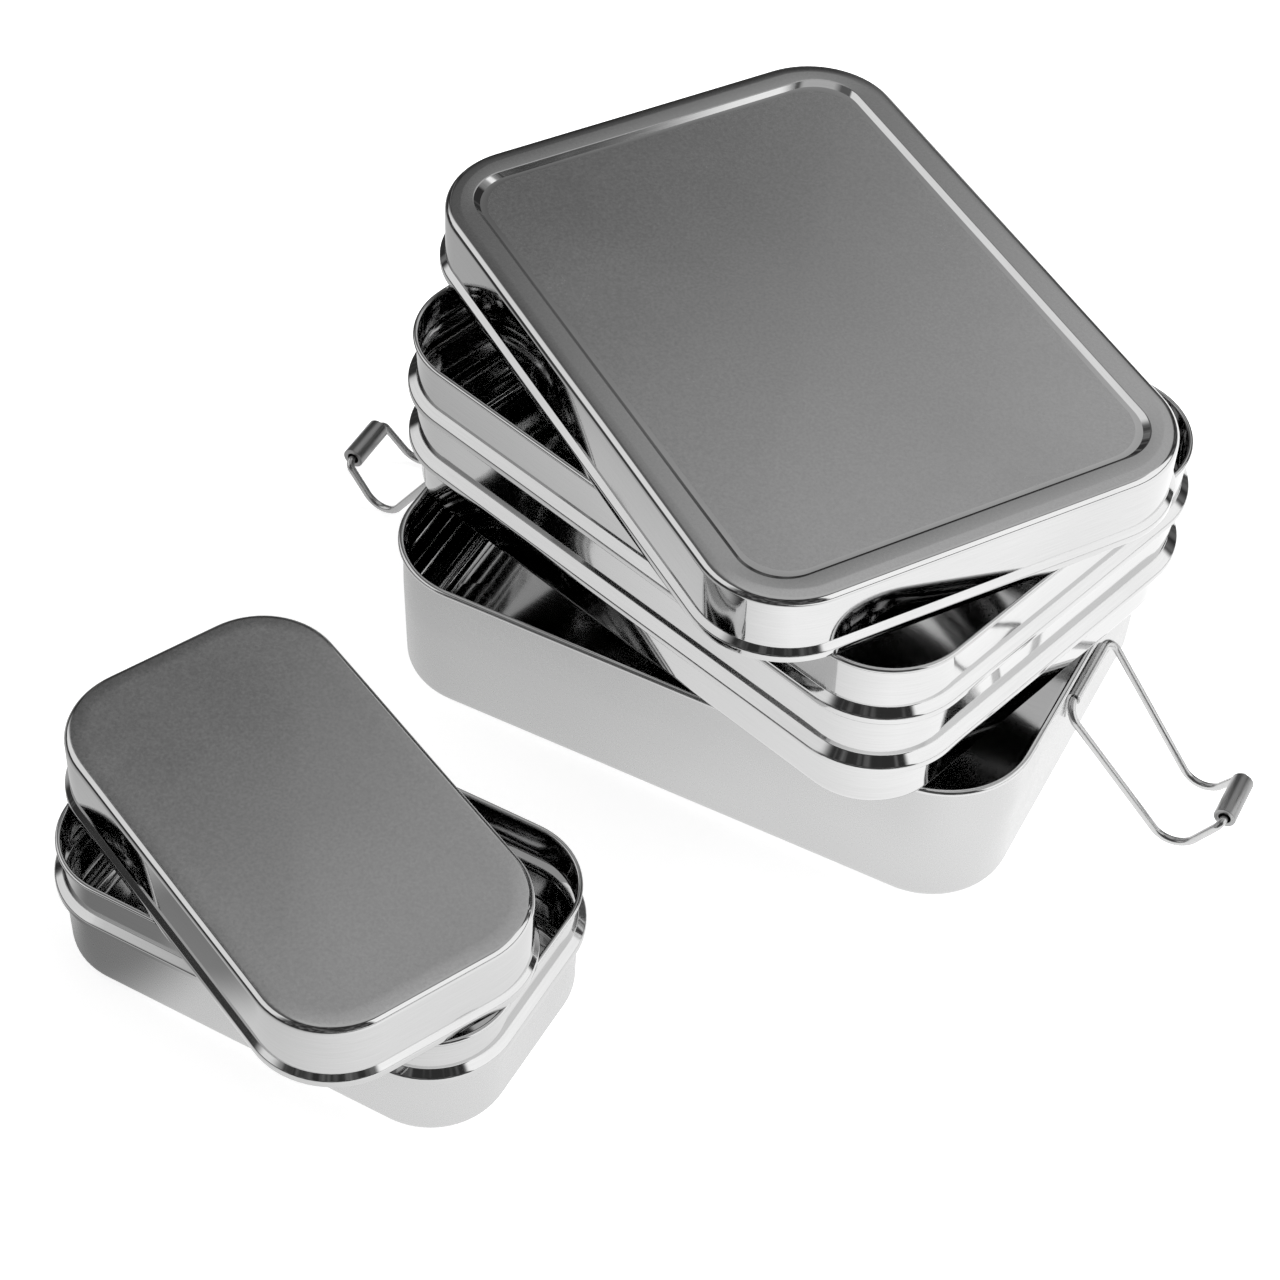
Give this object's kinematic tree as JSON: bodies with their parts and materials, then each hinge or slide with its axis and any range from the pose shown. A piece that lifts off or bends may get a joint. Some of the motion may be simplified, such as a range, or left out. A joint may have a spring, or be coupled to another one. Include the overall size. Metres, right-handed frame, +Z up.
{
  "type": "tiffin carrier",
  "caption": "Rectangular stainless steel tiffin carrier: stacked trays under a stepped lid with swinging wire bails, and a smaller lidded box beside them.",
  "frame": {"origin": "middle of the large bottom tray's flat underside, on the surface that it stands on", "axes": "+X along the large bottom tray's length towards the right bail, +Y away from the small box, +Z up"},
  "size_m": [0.3067, 0.3524, 0.1323],
  "materials": {
    "satin_steel": "satin drawn stainless steel with a mirror inside",
    "mirror_steel": "mirror polished stainless steel",
    "strap_steel": "bare rolled stainless strip",
    "wire_steel": "bright drawn stainless wire",
    "grip_steel": "satin stainless tube with lathe-cut ends"
  },
  "bodies": {
    "bottom_tray": {"large_bottom_tray": "satin_steel", "right_hinge_strap": "strap_steel", "left_hinge_strap": "strap_steel"},
    "middle_tray": {"large_middle_tray": "mirror_steel"},
    "large_lid": {"large_lid": "mirror_steel"},
    "small_tray": {"small_tray": "satin_steel"},
    "small_lid": {"small_lid": "mirror_steel"},
    "right_bail": {"right_bail_wire": "wire_steel"},
    "right_grip": {"right_grip_sleeve": "grip_steel"},
    "left_bail": {"left_bail_wire": "wire_steel"},
    "left_grip": {"left_grip_sleeve": "grip_steel"}
  },
  "joints": [
    {"name": "middle_tray_lift", "type": "slide", "parent": "bottom_tray", "child": "middle_tray", "axis": [0, 0, 1], "range_m": [0, 0.08]},
    {"name": "large_lid_lift", "type": "slide", "parent": "middle_tray", "child": "large_lid", "axis": [0, 0, 1], "range_m": [0, 0.06]},
    {"name": "small_tray_lift", "type": "slide", "parent": "bottom_tray", "child": "small_tray", "axis": [0, 0, 1], "range_m": [0, 0.06]},
    {"name": "small_lid_lift", "type": "slide", "parent": "small_tray", "child": "small_lid", "axis": [0, 0, 1], "range_m": [0, 0.05]},
    {"name": "right_bail_hinge", "type": "hinge", "parent": "bottom_tray", "child": "right_bail", "pos_m": [0.10225, -0.003, 0.043], "axis": [0, -1, 0], "range_deg": [0, 112]},
    {"name": "left_bail_hinge", "type": "hinge", "parent": "bottom_tray", "child": "left_bail", "pos_m": [-0.10225, 0.001, 0.043], "axis": [0, 1, 0], "range_deg": [0, 116]},
    {"name": "right_grip_spin", "type": "hinge", "parent": "right_bail", "child": "right_grip", "pos_m": [0.15286, -0.003, 0.01458], "axis": [0, 1, 0], "continuous": true},
    {"name": "left_grip_spin", "type": "hinge", "parent": "left_bail", "child": "left_grip", "pos_m": [-0.14702, 0.001, 0.01337], "axis": [0, 1, 0], "continuous": true}
  ]
}
